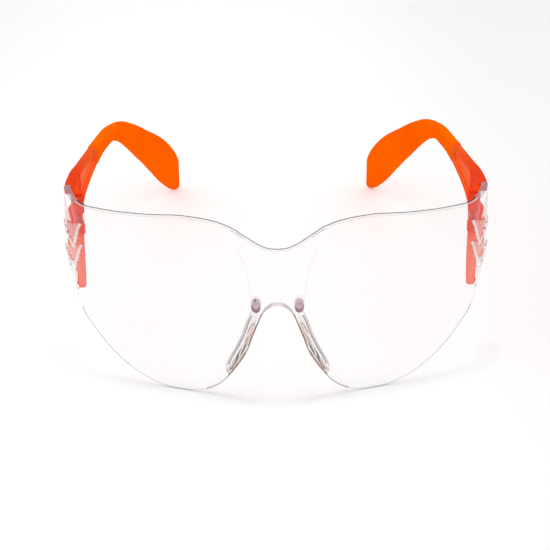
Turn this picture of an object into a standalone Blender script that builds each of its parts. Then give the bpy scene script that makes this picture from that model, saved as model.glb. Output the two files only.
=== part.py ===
"""One-piece-lens safety spectacles: a clear wrap-around lens, two soft nose
pads, two translucent folding temples with opaque soft sleeves, and two hinge
pins.  Metres, +Z up.  The lens faces -Y, the temples run back along +Y and the
whole thing rests on the two lens lobes and the two temple tips (Z = 0).
"left" means the -X side and "right" the +X side.  Depths (Y) below are counted
from the front of the lens; the finished model is shifted so that the origin is
the middle of the footprint."""
import bpy
import bmesh
from math import sin, cos, radians, pi, sqrt, atan2, hypot
from mathutils import Vector

MM = 0.001
DEPTH_MID = 80.4               # half of the overall depth (mm)
GAP = 0.3                      # clearance between neighbouring pieces (mm)

# ------------------------------------------------------------ lens (mm)
LENS_THICK = 2.2
PLAN_ARCS = ((107.0, 35.0), (10.0, 25.0), (40.0, 26.0))   # radius, turn (deg)
LENS_END_T = 86.2              # half arc length of the plan curve
VERT_RADIUS = 120.0            # vertical curvature of the front
VERT_CENTRE = 26.0             # height of the foremost line
FLAT_FROM, FLAT_TO = 50.0, 74.0   # the vertical curve fades out along the wall
# height of the top and bottom outline against arc length from the middle
TOP_LINE = ((0, 52.3), (3, 52.6), (6, 53.7), (10.5, 56.1), (15.5, 58.7),
            (21, 60.2), (27, 60.8), (32, 60.9), (40, 60.2), (48, 59.3),
            (56, 58.8), (65, 59.1), (74, 59.7), (81, 59.8), (86.2, 59.5))
BOTTOM_LINE = ((0, 34.5), (1.4, 34.3), (3.2, 33.2), (4.9, 31.1), (6.4, 27.4), (8.1, 22.8),
               (9.6, 18.2), (11.8, 13.9), (15.0, 9.0), (17.6, 5.6),
               (20.8, 2.9), (24, 1.2), (28, 0.25), (32, 0.0), (36, 0.05),
               (40, 0.8), (44, 2.0), (48, 3.9), (52, 6.4), (56, 9.8),
               (60, 13.8), (64, 18.3), (68, 22.8), (71.5, 27.4),
               (74.5, 31.2), (78, 33.6), (82, 35.0), (85, 37.0), (86.2, 40.0))
LENS_COLUMNS = (0, 1.6, 3.0, 4.4, 5.6, 6.4, 7.2, 8.2, 9.4, 10.6, 12.0, 13.5,
                15.0, 17.0, 19.5, 22.5, 26, 30, 34.5, 39, 43.5, 48, 52.5, 57,
                61, 65, 68, 70.5, 73, 76, 79, 82, 84.5, 86.2)
LENS_ROWS = 11

# raised chevron ribs on the outside of each side wall: (t, z) end points
CHEVRONS = (((67.6, 53.4), (71.5, 44.0)), ((83.6, 47.6), (71.5, 44.0)),
            ((67.0, 46.2), (71.0, 37.0)), ((82.6, 39.2), (71.0, 37.0)),
            ((76.0, 35.4), (70.6, 35.2)), ((70.5, 35.4), (70.3, 30.0)))
RIB_WIDTH = 1.5
RIB_RISE = 0.5

# ------------------------------------------------------------ hinge (mm)
HINGE_X, HINGE_Y = 63.9, 34.0
LUG_R = 1.75                   # the lens carries one lug on each side
LUG_Z = (47.6, 50.8)
KNUCKLE_R = 1.65               # the temple carries a knuckle above and below it
KNUCKLES = ((51.2, 57.3), (43.6, 47.2))
HOLE_R = 0.85
PIN_R = 0.75
PIN_HEAD_R = 1.0
PIN_HEAD_T = 0.4
SINK_R, SINK_DEEP = 1.2, 0.6   # recess that hides each pin head

# ------------------------------------------------------------ temple (mm)
# outer face in plan: distance from the middle plane against depth
SHEET = ((33, 65.4), (36.4, 66.1), (38.4, 66.5), (42, 67.0), (46, 67.6),
         (50, 68.3), (56, 68.6), (62, 68.0), (70, 66.9), (80, 65.5),
         (90, 64.1), (100, 62.4), (112, 59.8), (123, 56.8), (135, 52.1),
         (150, 45.4), (161, 40.1))
# depth, bottom, top, thickness
ARM = ((36.4, 22.6, 57.3, 2.9), (38.0, 21.4, 57.8, 3.0),
       (41.0, 21.6, 58.3, 3.2), (44.0, 24.6, 58.4, 3.4),
       (48.0, 30.8, 57.9, 3.6), (53.0, 37.6, 57.0, 3.6),
       (58.0, 41.5, 56.0, 3.5), (64.0, 43.6, 55.0, 3.4),
       (72.0, 44.9, 54.1, 3.3), (82.6, 45.9, 52.9, 3.2))
# depth, bottom, top, outer face, thickness
FIN = ((38.8, 31.0, 47.3, 68.8, 3.2), (41.5, 30.2, 47.3, 69.0, 3.2),
       (46.0, 32.4, 47.0, 69.0, 2.6), (51.0, 38.0, 46.2, 68.7, 1.6))
FLANGE = ((38.8, 55.4, 58.4, 68.9, 3.4), (42.0, 55.1, 58.7, 68.8, 3.4),
          (48.0, 53.9, 58.0, 68.6, 2.8), (54.0, 52.2, 56.9, 68.5, 2.0))
TONGUE = ((81.0, 47.9, 51.2), (89.0, 47.8, 50.6), (97.0, 47.2, 49.7), (102.0, 46.8, 49.3), (107.0, 45.9, 48.4),
          (112.0, 44.1, 47.1), (117.0, 41.6, 45.3), (122.0, 38.4, 43.2),
          (127.0, 34.4, 40.3), (132.0, 29.9, 37.2), (138.0, 24.3, 32.6),
          (144.0, 18.0, 27.2))
TONGUE_THICK = 1.5
CHANNEL = ((43.0, 46.0, 56.2), (52.0, 46.8, 55.0), (66.0, 48.2, 53.2),
           (79.0, 49.4, 51.3))
CHANNEL_DEEP = 0.8
# ------------------------------------------------------------ sleeve (mm)
SLEEVE = ((83.0, 45.5, 53.3), (91.0, 45.6, 52.3), (99.0, 45.1, 51.6), (104.0, 44.7, 51.0), (109.0, 43.6, 49.9),
          (114.0, 41.3, 48.6), (118.0, 39.2, 47.3), (122.0, 36.4, 45.6),
          (126.0, 33.0, 43.4), (130.0, 29.2, 41.0), (134.0, 25.1, 38.3),
          (138.0, 21.2, 35.4), (142.0, 16.9, 32.6), (146.0, 12.5, 29.7),
          (150.0, 8.0, 26.4), (154.0, 4.1, 22.4), (157.0, 1.5, 18.7),
          (159.3, 0.2, 15.2), (160.8, 0.0, 12.2))
SLEEVE_THICK = 3.5
SLEEVE_PROUD = 0.15             # the sleeve stands this far outside the arm

# ------------------------------------------------------------ nose pad (mm)
STUD_X, STUD_Z = 6.8, 33.9
STUD_A, STUD_B = 1.35, 1.85
TAB_A, TAB_B = 1.8, 2.4
PAD = ((33.6, 6.2, 2.4), (31.0, 6.1, 3.3), (28.0, 6.6, 4.4),
       (24.0, 7.9, 5.2), (19.5, 9.3, 5.3), (15.0, 11.3, 5.0),
       (11.0, 13.5, 4.4), (7.6, 15.4, 3.0))         # height, offset, depth
PAD_THICK = 1.3
PAD_FLARE = 0.22


# ================================================================ helpers
for ob in list(bpy.data.objects):
    bpy.data.objects.remove(ob, do_unlink=True)

scene = bpy.context.scene
pieces = bpy.data.collections.new("safety_glasses")
cutters = bpy.data.collections.new("cutters")
scene.collection.children.link(pieces)
scene.collection.children.link(cutters)


def material(name, rgba, rough, metal=0.0, trans=0.0, ior=1.5):
    m = bpy.data.materials.new(name)
    m.use_nodes = True
    b = m.node_tree.nodes["Principled BSDF"]
    b.inputs["Base Color"].default_value = rgba
    b.inputs["Roughness"].default_value = rough
    b.inputs["Metallic"].default_value = metal
    b.inputs["Transmission Weight"].default_value = trans
    b.inputs["IOR"].default_value = ior
    m.diffuse_color = rgba
    return m


MATS = {}
for side in ("left", "right"):
    MATS["nose_pad_" + side] = material("pad_rubber_" + side, (0.78, 0.66, 0.70, 1), 0.35)
    MATS["temple_" + side] = material("temple_tint_" + side, (0.90, 0.13, 0.01, 1), 0.15)
    MATS["temple_sleeve_" + side] = material("sleeve_soft_" + side, (0.94, 0.16, 0.01, 1), 0.55)
    MATS["hinge_pin_" + side] = material("pin_tint_" + side, (0.85, 0.10, 0.01, 1), 0.25, 0.0)
MATS["lens"] = material("lens_clear", (0.93, 0.95, 0.96, 1), 0.03)


def interp(table, x, col=1):
    """Monotone cubic through the rows of a table of (x, a, b, ...)."""
    n = len(table)
    if x <= table[0][0]:
        return float(table[0][col])
    if x >= table[-1][0]:
        return float(table[-1][col])
    xs = [float(r[0]) for r in table]
    ys = [float(r[col]) for r in table]
    h = [xs[i + 1] - xs[i] for i in range(n - 1)]
    d = [(ys[i + 1] - ys[i]) / h[i] for i in range(n - 1)]
    m = [0.0] * n
    m[0], m[-1] = d[0], d[-1]
    for i in range(1, n - 1):
        if d[i - 1] * d[i] > 0:
            w1 = 2 * h[i] + h[i - 1]
            w2 = h[i] + 2 * h[i - 1]
            m[i] = (w1 + w2) / (w1 / d[i - 1] + w2 / d[i])
    i = max(k for k in range(n - 1) if xs[k] <= x)
    s = (x - xs[i]) / h[i]
    return ((2 * s ** 3 - 3 * s ** 2 + 1) * ys[i] + (s ** 3 - 2 * s ** 2 + s) * h[i] * m[i]
            + (-2 * s ** 3 + 3 * s ** 2) * ys[i + 1] + (s ** 3 - s ** 2) * h[i] * m[i + 1])


def plan(t):
    """Point and outward normal of the lens plan curve at arc length t."""
    sg = -1.0 if t < 0 else 1.0
    q = abs(t)
    x = y = th = 0.0
    for i, (r, turn) in enumerate(PLAN_ARCS):
        a = radians(turn)
        if q <= r * a or i == len(PLAN_ARCS) - 1:
            a = q / r
        x += r * (sin(th + a) - sin(th))
        y += r * (cos(th) - cos(th + a))
        th += a
        q -= r * a
        if q <= 1e-9:
            break
    return sg * x, y, sg * sin(th), -cos(th)


def lens_point(t, z, depth=0.0):
    """Lens surface at (t, z); depth is measured inwards from the outer face."""
    x, y, nx, ny = plan(t)
    u = min(1.0, max(0.0, (abs(t) - FLAT_FROM) / (FLAT_TO - FLAT_FROM)))
    k = 1.0 - 0.9 * u * u * (3 - 2 * u)
    d = k * (VERT_RADIUS - sqrt(VERT_RADIUS ** 2 - (z - VERT_CENTRE) ** 2)) + depth
    return Vector((x - nx * d, y - ny * d, z))


def finish(name, me):
    me.validate()
    bm = bmesh.new()
    bm.from_mesh(me)
    bmesh.ops.remove_doubles(bm, verts=bm.verts, dist=1e-7)
    bmesh.ops.recalc_face_normals(bm, faces=bm.faces)
    vol = bm.calc_volume(signed=True)
    if vol < 0:
        bmesh.ops.reverse_faces(bm, faces=bm.faces)
    bm.to_mesh(me)
    bm.free()
    return me


def add_object(name, me, cutter=False):
    ob = bpy.data.objects.new(name, me)
    (cutters if cutter else pieces).objects.link(ob)
    if cutter:
        ob.hide_render = True
        ob.display_type = 'WIRE'
    return ob


def loft(name, sections, cutter=False):
    """Closed body through rings of equal point count (mm in, metres out)."""
    bm = bmesh.new()
    rings = [[bm.verts.new(Vector(p) * MM) for p in s] for s in sections]
    n = len(rings[0])
    for a, b in zip(rings[:-1], rings[1:]):
        for i in range(n):
            j = (i + 1) % n
            bm.faces.new((a[i], a[j], b[j], b[i]))
    bm.faces.new(list(reversed(rings[0])))
    bm.faces.new(rings[-1])
    me = bpy.data.meshes.new(name)
    bm.to_mesh(me)
    bm.free()
    return add_object(name, finish(name, me), cutter)


def cylinder(name, r, z0, z1, seg=24, at=(0, 0), cutter=False, sx=1.0, axis='Z', sz=1.0):
    bm = bmesh.new()
    bmesh.ops.create_cone(bm, cap_ends=True, segments=seg, radius1=r * MM, radius2=r * MM,
                          depth=(z1 - z0) * MM)
    for v in bm.verts:
        v.co.x *= sx
        v.co.y *= sz
    for v in bm.verts:
        if axis == 'Z':
            v.co = Vector((v.co.x + at[0] * MM, v.co.y + at[1] * MM, v.co.z + (z0 + z1) / 2 * MM))
        else:       # along Y, at = (x, z)
            v.co = Vector((v.co.x + at[0] * MM, v.co.z + (z0 + z1) / 2 * MM, v.co.y + at[1] * MM))
    me = bpy.data.meshes.new(name)
    bm.to_mesh(me)
    bm.free()
    return add_object(name, finish(name, me), cutter)


def box(name, lo, hi, cutter=False):
    bm = bmesh.new()
    bmesh.ops.create_cube(bm, size=1.0)
    for v in bm.verts:
        v.co = Vector([(lo[i] + hi[i]) / 2 * MM + v.co[i] * (hi[i] - lo[i]) * MM for i in range(3)])
    me = bpy.data.meshes.new(name)
    bm.to_mesh(me)
    bm.free()
    return add_object(name, finish(name, me), cutter)


def boolean(ob, other, op):
    mod = ob.modifiers.new(op.lower(), 'BOOLEAN')
    mod.operation = op
    mod.solver = 'EXACT'
    mod.object = other


def bake(ob, drop):
    """Turn an object's modifier stack into its mesh and drop its operands."""
    dg = bpy.context.evaluated_depsgraph_get()
    me = bpy.data.meshes.new_from_object(ob.evaluated_get(dg))
    ob.modifiers.clear()
    ob.data = finish(ob.name, me)
    for d in drop:
        bpy.data.objects.remove(d, do_unlink=True)
    return ob


def own(ob):
    ob.data.materials.clear()
    ob.data.materials.append(MATS[ob.name])
    ob.data.shade_smooth()
    ob.data.set_sharp_from_angle(angle=radians(35))


def rounded(cx, cz, w, h, r, n=3):
    """Rounded rectangle ring in (x, z), counter-clockwise."""
    r = min(r, w * 0.49, h * 0.49)
    pts = []
    for (sx, sz, a0) in ((1, 1, 0), (-1, 1, 90), (-1, -1, 180), (1, -1, 270)):
        for k in range(n + 1):
            a = radians(a0 + 90.0 * k / n)
            pts.append((cx + sx * (w / 2 - r) + r * cos(a), cz + sz * (h / 2 - r) + r * sin(a)))
    return pts


def sheet_x(y):
    return interp(SHEET, y)


# ================================================================ lens
def build_lens():
    cols = [-c for c in reversed(LENS_COLUMNS[1:])] + list(LENS_COLUMNS)
    nx, ny = len(cols) - 1, LENS_ROWS
    bm = bmesh.new()
    bmesh.ops.create_grid(bm, x_segments=nx, y_segments=ny, size=1.0)
    for v in bm.verts:
        i = int(round((v.co.x + 1) / 2 * nx))
        j = (v.co.y + 1) / 2
        t = cols[i]
        zb, zt = interp(BOTTOM_LINE, abs(t)), interp(TOP_LINE, abs(t))
        v.co = lens_point(t, zb + (zt - zb) * j) * MM
    bmesh.ops.recalc_face_normals(bm, faces=bm.faces)
    mid = min(bm.faces, key=lambda f: (f.calc_center_median() - Vector((0, 0, 0.045))).length)
    if mid.normal.y > 0:
        bmesh.ops.reverse_faces(bm, faces=bm.faces)
    me = bpy.data.meshes.new("lens")
    bm.to_mesh(me)
    bm.free()
    ob = add_object("lens", me)
    so = ob.modifiers.new("wall", 'SOLIDIFY')
    so.thickness = LENS_THICK * MM
    so.offset = -1.0
    so.use_even_offset = True
    parts = []
    for s in (-1, 1):
        z0, z1 = LUG_Z
        web = box("web", (min(s * HINGE_X, s * 67.3), HINGE_Y - 1.6, z0),
                  (max(s * HINGE_X, s * 67.3), HINGE_Y + 1.6, z1), True)
        eye = cylinder("eye", LUG_R, z0, z1, 28, (s * HINGE_X, HINGE_Y), True)
        parts += [web, eye]
        boolean(ob, web, 'UNION')
        boolean(ob, eye, 'UNION')
        for (p, q) in CHEVRONS:
            rib = rib_body(s, p, q)
            parts.append(rib)
            boolean(ob, rib, 'UNION')
    for s in (-1, 1):
        hole = cylinder("pin_hole", HOLE_R, LUG_Z[0] - 3, LUG_Z[1] + 3, 20,
                        (s * HINGE_X, HINGE_Y), True)
        stud = cylinder("stud_hole", 1.0, -6, 12, 24, (s * STUD_X, STUD_Z), True,
                        sx=STUD_A + GAP, axis='Y', sz=STUD_B + GAP)
        parts += [hole, stud]
        boolean(ob, hole, 'DIFFERENCE')
        boolean(ob, stud, 'DIFFERENCE')
    bake(ob, parts)
    own(ob)
    return ob


def rib_body(s, p, q):
    """A low straight-flanked rib lying on the outer face from p to q."""
    rings = []
    dt, dz = q[0] - p[0], q[1] - p[1]
    ln = hypot(dt, dz)
    ux, uz = -dz / ln, dt / ln
    for k in range(5):
        f = k / 4.0
        t, z = p[0] + dt * f, p[1] + dz * f
        w = RIB_WIDTH * (0.65 + 0.35 * f) / 2
        ring = []
        for (a, d) in ((-w, 0.9), (-w * 0.8, 0.0), (-0.15 * w, -RIB_RISE), (0.15 * w, -RIB_RISE),
                       (w * 0.8, 0.0), (w, 0.9)):
            v = lens_point(s * (t + ux * a), z + uz * a, d)
            ring.append((v.x, v.y, v.z))
        rings.append(ring)
    return loft("rib", rings, True)


# ================================================================ nose pads
def build_pad(side, s):
    rings = []
    for (z, x0, dep) in PAD:
        t = x0 + PAD_THICK / 2
        y0 = lens_point(t, z, LENS_THICK).y + GAP + 0.05
        ring = []
        for (a, b) in ((0.12, 0.0), (0.88, 0.0), (1.0, 0.08), (1.0, 0.92), (0.85, 1.0),
                       (0.15, 1.0), (0.0, 0.92), (0.0, 0.08)):
            x = x0 + a * PAD_THICK + PAD_FLARE * b * dep
            ring.append((s * x, y0 + b * dep, z))
        rings.append(ring)
    ob = loft("nose_pad_" + side, rings)
    y0 = lens_point(STUD_X, STUD_Z, LENS_THICK).y + GAP
    tab = cylinder("tab", 1.0, y0, y0 + 1.7, 28, (s * STUD_X, STUD_Z), True,
                   sx=TAB_A, axis='Y', sz=TAB_B)
    stud = cylinder("stud", 1.0, lens_point(STUD_X, STUD_Z).y + 0.1, y0 + 1.0, 24,
                    (s * STUD_X, STUD_Z), True, sx=STUD_A, axis='Y', sz=STUD_B)
    boolean(ob, tab, 'UNION')
    boolean(ob, stud, 'UNION')
    bake(ob, [tab, stud])
    own(ob)
    return ob


# ================================================================ temples
def strip(name, rows, s, cutter=False, r=1.1, n=3):
    """rows: (y, x_centre, z_centre, width, height)."""
    rings = []
    for (y, cx, cz, w, h) in rows:
        rings.append([(s * px, y, pz) for (px, pz) in rounded(cx, cz, w, h, r, n)])
    return loft(name, rings, cutter)


def resample(table, cols, steps):
    y0, y1 = table[0][0], table[-1][0]
    out = []
    for k in range(steps + 1):
        y = y0 + (y1 - y0) * k / steps
        out.append((y,) + tuple(interp(table, y, c) for c in cols))
    return out


def tongue_rows(grow):
    rows = []
    for (y, zb, zt) in TONGUE:
        cx = sheet_x(y) + SLEEVE_PROUD - SLEEVE_THICK / 2
        rows.append((y, cx, (zb + zt) / 2, TONGUE_THICK + 2 * grow, zt - zb + 2 * grow * 1.25))
    return rows


def build_temple(side, s):
    rows = []
    for (y, zb, zt, th) in ARM:
        rows.append((y, sheet_x(y) - th / 2, (zb + zt) / 2, th, zt - zb))
    ob = strip("temple_" + side, rows, s)
    fin = strip("fin", [(y, xo - th / 2, (zb + zt) / 2, th, zt - zb)
                        for (y, zb, zt, xo, th) in FIN], s, True, 0.6, 2)
    flange = strip("flange", [(y, xo - th / 2, (zb + zt) / 2, th, zt - zb)
                              for (y, zb, zt, xo, th) in FLANGE], s, True, 0.6, 2)
    tongue = strip("tongue", tongue_rows(0.0), s, True, 0.5, 2)
    x0, x1 = HINGE_X - 1.0, HINGE_X + 1.3
    knuckles, sinks = [], []
    for i, (z0, z1) in enumerate(KNUCKLES):
        knuckles.append(cylinder("knuckle", KNUCKLE_R, z0, z1, 28, (s * HINGE_X, HINGE_Y), True))
        knuckles.append(box("web", (min(s * x0, s * x1), HINGE_Y, z0),
                            (max(s * x0, s * x1), 37.4, z1 - 0.15), True))
        face = (z1 - SINK_DEEP, z1 + 1.0) if i == 0 else (z0 - 1.0, z0 + SINK_DEEP)
        sinks.append(cylinder("sink", SINK_R, face[0], face[1], 24, (s * HINGE_X, HINGE_Y), True))
    hole = cylinder("hole", HOLE_R, KNUCKLES[1][0] - 2, KNUCKLES[0][1] + 2, 20,
                    (s * HINGE_X, HINGE_Y), True)
    # notch that divides the front edge into an upper lobe and a lower finger
    notch = cylinder("notch", 1.7, 58, 67.2, 20, (0, 0), True)
    for v in notch.data.vertices:
        v.co = Vector((s * v.co.z, 0.0358 + v.co.x * 0.9, 0.0392 + v.co.y * 0.75))
    finish("notch", notch.data)
    chan = []
    for (y, zb, zt) in CHANNEL:
        th = interp(ARM, y, 3)
        chan.append((y, sheet_x(y) - th, (zb + zt) / 2, 2 * CHANNEL_DEEP, zt - zb))
    channel = strip("channel", chan, s, True, 0.5, 2)
    added = [fin, flange, tongue] + knuckles
    taken = [hole, notch, channel] + sinks
    for o in added:
        boolean(ob, o, 'UNION')
    for o in taken:
        boolean(ob, o, 'DIFFERENCE')
    bake(ob, added + taken)
    # the origin sits on the hinge axis
    off = Vector((s * HINGE_X, HINGE_Y, 0)) * MM
    for v in ob.data.vertices:
        v.co -= off
    ob.location = off
    own(ob)
    return ob


def build_sleeve(side, s):
    rows = []
    for (y, zb, zt) in SLEEVE:
        th = SLEEVE_THICK * (1.0 if y < 158 else (0.93 if y < 160 else 0.72))
        cx = sheet_x(y) + SLEEVE_PROUD - SLEEVE_THICK / 2
        rows.append((y, cx, (zb + zt) / 2, th, zt - zb))
    ob = strip("temple_sleeve_" + side, rows, s, False, 1.5, 4)
    pocket = strip("pocket", tongue_rows(GAP), s, True, 0.6, 2)
    # the pocket runs a little deeper than the tongue
    boolean(ob, pocket, 'DIFFERENCE')
    y = 144.0
    rows2 = [(y - 1.0, sheet_x(y - 1) + SLEEVE_PROUD - SLEEVE_THICK / 2, 23.4,
              TONGUE_THICK + 2 * GAP, 8.8),
             (y + 0.9, sheet_x(y + 0.9) + SLEEVE_PROUD - SLEEVE_THICK / 2, 21.9,
              TONGUE_THICK + 2 * GAP, 8.8)]
    deep = strip("deep", rows2, s, True, 0.6, 2)
    boolean(ob, deep, 'DIFFERENCE')
    bake(ob, [pocket, deep])
    own(ob)
    return ob


def build_pin(side, s):
    # both heads sit 0.1 mm above the floor of their recesses
    high = KNUCKLES[0][1] - SINK_DEEP + 0.1
    low = KNUCKLES[1][0] + SINK_DEEP - 0.1
    ob = cylinder("hinge_pin_" + side, PIN_R, low - 0.2, high + 0.2, 20,
                  (s * HINGE_X, HINGE_Y))
    a = cylinder("head_a", PIN_HEAD_R, high, high + PIN_HEAD_T, 24,
                 (s * HINGE_X, HINGE_Y), True)
    b = cylinder("head_b", PIN_HEAD_R, low - PIN_HEAD_T, low, 24,
                 (s * HINGE_X, HINGE_Y), True)
    boolean(ob, a, 'UNION')
    boolean(ob, b, 'UNION')
    bake(ob, [a, b])
    own(ob)
    return ob


build_lens()
for side, s in (("left", -1), ("right", 1)):
    build_pad(side, s)
    build_temple(side, s)
    build_sleeve(side, s)
    build_pin(side, s)
for ob in pieces.objects:
    ob.location.y -= DEPTH_MID * MM
bpy.context.view_layer.update()
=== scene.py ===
"""Looks of the clear wrap-around safety spectacles: fine meshes and procedural
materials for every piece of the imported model, a pale floor, soft light and the
camera.  Lengths in the tables are millimetres, depths are counted from the
front of the lens and shifted by DEPTH_MID at the end."""
from math import radians, sin, cos, pi, sqrt, hypot

import bmesh
import bpy
import numpy as np
from mathutils import Matrix, Vector


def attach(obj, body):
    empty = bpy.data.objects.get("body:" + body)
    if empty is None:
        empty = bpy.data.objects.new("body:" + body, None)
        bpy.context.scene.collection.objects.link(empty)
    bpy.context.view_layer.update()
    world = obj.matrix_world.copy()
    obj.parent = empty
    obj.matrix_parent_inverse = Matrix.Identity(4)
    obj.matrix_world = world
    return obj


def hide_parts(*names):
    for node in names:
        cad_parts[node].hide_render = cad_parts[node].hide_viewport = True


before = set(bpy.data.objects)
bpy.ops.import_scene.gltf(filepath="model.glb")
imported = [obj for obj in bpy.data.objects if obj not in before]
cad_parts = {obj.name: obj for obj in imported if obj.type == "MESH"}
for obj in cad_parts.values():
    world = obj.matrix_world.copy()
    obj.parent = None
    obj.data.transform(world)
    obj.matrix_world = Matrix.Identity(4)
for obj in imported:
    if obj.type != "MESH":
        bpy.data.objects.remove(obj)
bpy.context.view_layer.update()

MM = 0.001
DEPTH_MID = 80.4
GAP = 0.3

# ------------------------------------------------------------------ lens (mm)
LENS_THICK = 2.2
RIM_R = 0.42                   # fillet along the whole outline
PLAN_ARCS = ((107.0, 35.0), (10.0, 25.0), (40.0, 26.0))
LENS_END_T = 86.2
END_ROUND = 1.7                # rounding of the upper corners
VERT_RADIUS, VERT_CENTRE = 120.0, 26.0
FLAT_FROM, FLAT_TO = 50.0, 74.0
TOP_LINE = ((0, 52.3), (3, 52.6), (6, 53.7), (10.5, 56.1), (15.5, 58.7),
            (21, 60.2), (27, 60.8), (32, 60.9), (40, 60.2), (48, 59.3),
            (56, 58.8), (65, 59.1), (74, 59.7), (81, 59.8), (86.2, 59.5))
BOTTOM_LINE = ((0, 34.5), (1.4, 34.3), (3.2, 33.2), (4.9, 31.1), (6.4, 27.4), (8.1, 22.8),
               (9.6, 18.2), (11.8, 13.9), (15.0, 9.0), (17.6, 5.6),
               (20.8, 2.9), (24, 1.2), (28, 0.25), (32, 0.0), (36, 0.05),
               (40, 0.8), (44, 2.0), (48, 3.9), (52, 6.4), (56, 9.8),
               (60, 13.8), (64, 18.3), (68, 22.8), (71.5, 27.4),
               (74.5, 31.2), (78, 33.6), (82, 35.0), (85, 37.0), (86.2, 40.0))
CHEVRONS = (((67.6, 53.4), (71.5, 44.0)), ((83.6, 47.6), (71.5, 44.0)),
            ((67.0, 46.2), (71.0, 37.0)), ((82.6, 39.2), (71.0, 37.0)),
            ((76.0, 35.4), (70.6, 35.2)), ((70.5, 35.4), (70.3, 30.0)))
RIB_WIDTH, RIB_RISE, RIB_FLANK = 1.5, 0.5, 0.4
# corners of a painted highlight: the reflection on the outer side of the lens end
END_HIGHLIGHT_PATCH = ((79.2, 57.6), (73.4, 52.0), (84.4, 48.2), (85.6, 56.8))   # pale patch by the lens end
# half width of the central bridge zone against height
BRIDGE = ((36.0, 8.5), (38.0, 8.7), (42.4, 9.1), (46.6, 10.0), (49.0, 10.9),
          (53.5, 13.4), (58.0, 17.0))
BRIDGE_SINK, BRIDGE_EDGE = 0.10, 0.7
ROWS = 84

# ----------------------------------------------------------------- hinge (mm)
HINGE_X, HINGE_Y = 63.9, 34.0
LUG_R, LUG_Z = 1.75, (47.6, 50.8)
KNUCKLE_R, KNUCKLES = 1.65, ((51.2, 57.3), (43.6, 47.2))
HOLE_R, PIN_R, PIN_HEAD_R = 0.85, 0.75, 1.0
PIN_HEAD_T, SINK_R, SINK_DEEP = 0.4, 1.2, 0.6

# ---------------------------------------------------------------- temple (mm)
SHEET = ((33, 65.4), (36.4, 66.1), (38.4, 66.5), (42, 67.0), (46, 67.6),
         (50, 68.3), (56, 68.6), (62, 68.0), (70, 66.9), (80, 65.5),
         (90, 64.1), (100, 62.4), (112, 59.8), (123, 56.8), (135, 52.1),
         (150, 45.4), (161, 40.1))
ARM = ((36.4, 22.6, 57.3, 2.9), (38.0, 21.4, 57.8, 3.0),
       (41.0, 21.6, 58.3, 3.2), (44.0, 24.6, 58.4, 3.4),
       (48.0, 30.8, 57.9, 3.6), (53.0, 37.6, 57.0, 3.6),
       (58.0, 41.5, 56.0, 3.5), (64.0, 43.6, 55.0, 3.4),
       (72.0, 44.9, 54.1, 3.3), (82.6, 45.9, 52.9, 3.2))
FIN = ((38.8, 31.0, 47.3, 68.8, 3.2), (41.5, 30.2, 47.3, 69.0, 3.2),
       (46.0, 32.4, 47.0, 69.0, 2.6), (51.0, 38.0, 46.2, 68.7, 1.6))
FLANGE = ((38.8, 55.4, 58.4, 68.9, 3.4), (42.0, 55.1, 58.7, 68.8, 3.4),
          (48.0, 53.9, 58.0, 68.6, 2.8), (54.0, 52.2, 56.9, 68.5, 2.0))
TONGUE = ((81.0, 47.9, 51.2), (89.0, 47.8, 50.6), (97.0, 47.2, 49.7), (102.0, 46.8, 49.3), (107.0, 45.9, 48.4),
          (112.0, 44.1, 47.1), (117.0, 41.6, 45.3), (122.0, 38.4, 43.2),
          (127.0, 34.4, 40.3), (132.0, 29.9, 37.2), (138.0, 24.3, 32.6),
          (144.0, 18.0, 27.2))
TONGUE_THICK = 1.5
# painted highlight: the temple colour is paled towards the bottom of the front panel
LOW_HIGHLIGHT_BLEND = (45.0 * MM, 34.0 * MM, 0.0, 0.6)
REAR_BLEND = ((50.0 - DEPTH_MID) * MM, (82.0 - DEPTH_MID) * MM, 0.0, 0.85)
CHANNEL = ((43.0, 46.0, 56.2), (52.0, 46.8, 55.0), (66.0, 48.2, 53.2),
           (79.0, 49.4, 51.3))
CHANNEL_DEEP = 0.8
SLEEVE = ((83.0, 45.5, 53.3), (91.0, 45.6, 52.3), (99.0, 45.1, 51.6), (104.0, 44.7, 51.0), (109.0, 43.6, 49.9),
          (114.0, 41.3, 48.6), (118.0, 39.2, 47.3), (122.0, 36.4, 45.6),
          (126.0, 33.0, 43.4), (130.0, 29.2, 41.0), (134.0, 25.1, 38.3),
          (138.0, 21.2, 35.4), (142.0, 16.9, 32.6), (146.0, 12.5, 29.7),
          (150.0, 8.0, 26.4), (154.0, 4.1, 22.4), (157.0, 1.5, 18.7),
          (159.3, 0.2, 15.2), (160.8, 0.0, 12.2))
SLEEVE_THICK, SLEEVE_PROUD = 3.5, 0.15

# ------------------------------------------------------------------ pads (mm)
STUD_X, STUD_Z = 6.8, 33.9
STUD_A, STUD_B = 1.35, 1.85
TAB_A, TAB_B = 1.8, 2.4
PAD = ((33.6, 6.2, 2.4), (31.0, 6.1, 3.3), (28.0, 6.6, 4.4),
       (24.0, 7.9, 5.2), (19.5, 9.3, 5.3), (15.0, 11.3, 5.0),
       (11.0, 13.5, 4.4), (7.6, 15.4, 3.0))
PAD_THICK, PAD_FLARE = 1.3, 0.22
GLINT_LEAN = 0.41             # sideways lean of the cutout per unit of height


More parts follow.
